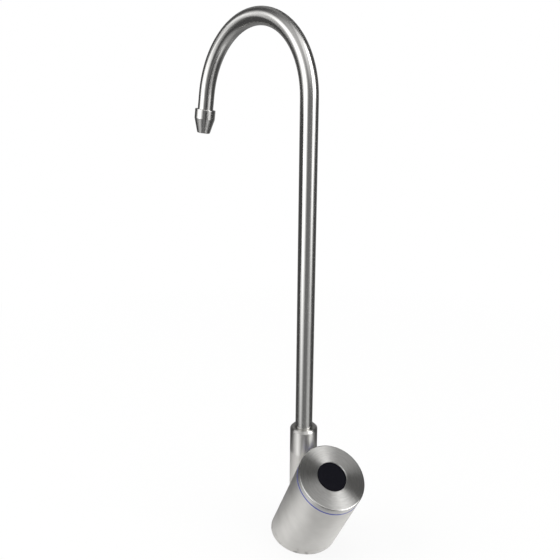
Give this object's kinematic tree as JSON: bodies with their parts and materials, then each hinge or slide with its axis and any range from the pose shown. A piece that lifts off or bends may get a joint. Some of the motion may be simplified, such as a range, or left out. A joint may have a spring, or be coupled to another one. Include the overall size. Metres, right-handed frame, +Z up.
{
  "type": "glass filler faucet",
  "caption": "Swan-neck glass filler with a turning spout tube in an upright stem, and a leaning round barrel with a sensor window in its cap.",
  "frame": {"origin": "where the stem's axis meets the deck, at the mouth of the supply socket", "axes": "+Z up along the stem, +X towards the user, the way the barrel leans; the spout reaches back over -X"},
  "size_m": [0.1897, 0.0551, 0.3909],
  "materials": {
    "satin_steel": "cast stainless steel, fine satin blast",
    "brushed_stem": "turned stainless steel, fine brushing",
    "polished_steel": "drawn stainless tube, polished",
    "turned_steel": "turned stainless steel, circular brushing on faces",
    "blue_plastic": "gloss blue acrylic",
    "dark_window": "gloss infrared-clear dark acrylic",
    "black_rubber": "matt black rubber",
    "white_plastic": "natural white low-friction plastic",
    "black_plastic": "fine matt black moulding",
    "board_green": "green lacquered circuit board",
    "diode_clear": "clear bluish moulded resin",
    "diode_dark": "dark moulded resin",
    "screw_steel": "plain stainless fastener"
  },
  "bodies": {
    "base": {"barrel_body": "satin_steel", "stem": "brushed_stem", "cap": "turned_steel", "blue_ring": "blue_plastic", "sensor_window": "dark_window", "thrust_washer": "white_plastic", "retaining_screw": "screw_steel", "inlet_filter": "screw_steel", "base_plate": "satin_steel", "base_screws": "screw_steel", "deck_gasket": "black_rubber", "cable_grommet": "black_rubber", "cap_oring": "black_rubber", "window_oring": "black_rubber", "sensor_housing": "black_plastic", "sensor_board": "board_green", "ir_emitter": "diode_clear", "ir_receiver": "diode_dark", "sensor_retainer": "black_plastic", "sensor_rear_cover": "black_plastic", "cable_bush": "black_rubber"},
    "spout": {"spout_tube": "polished_steel", "nozzle": "turned_steel", "swivel_spigot": "turned_steel", "spigot_oring_upper": "black_rubber", "spigot_oring_lower": "black_rubber", "nozzle_oring": "black_rubber", "flow_straightener": "white_plastic"}
  },
  "joints": [
    {"name": "spout_swivel", "type": "hinge", "parent": "base", "child": "spout", "pos_m": [0, 0, 0.064], "axis": [0, 0, 1], "continuous": true}
  ]
}
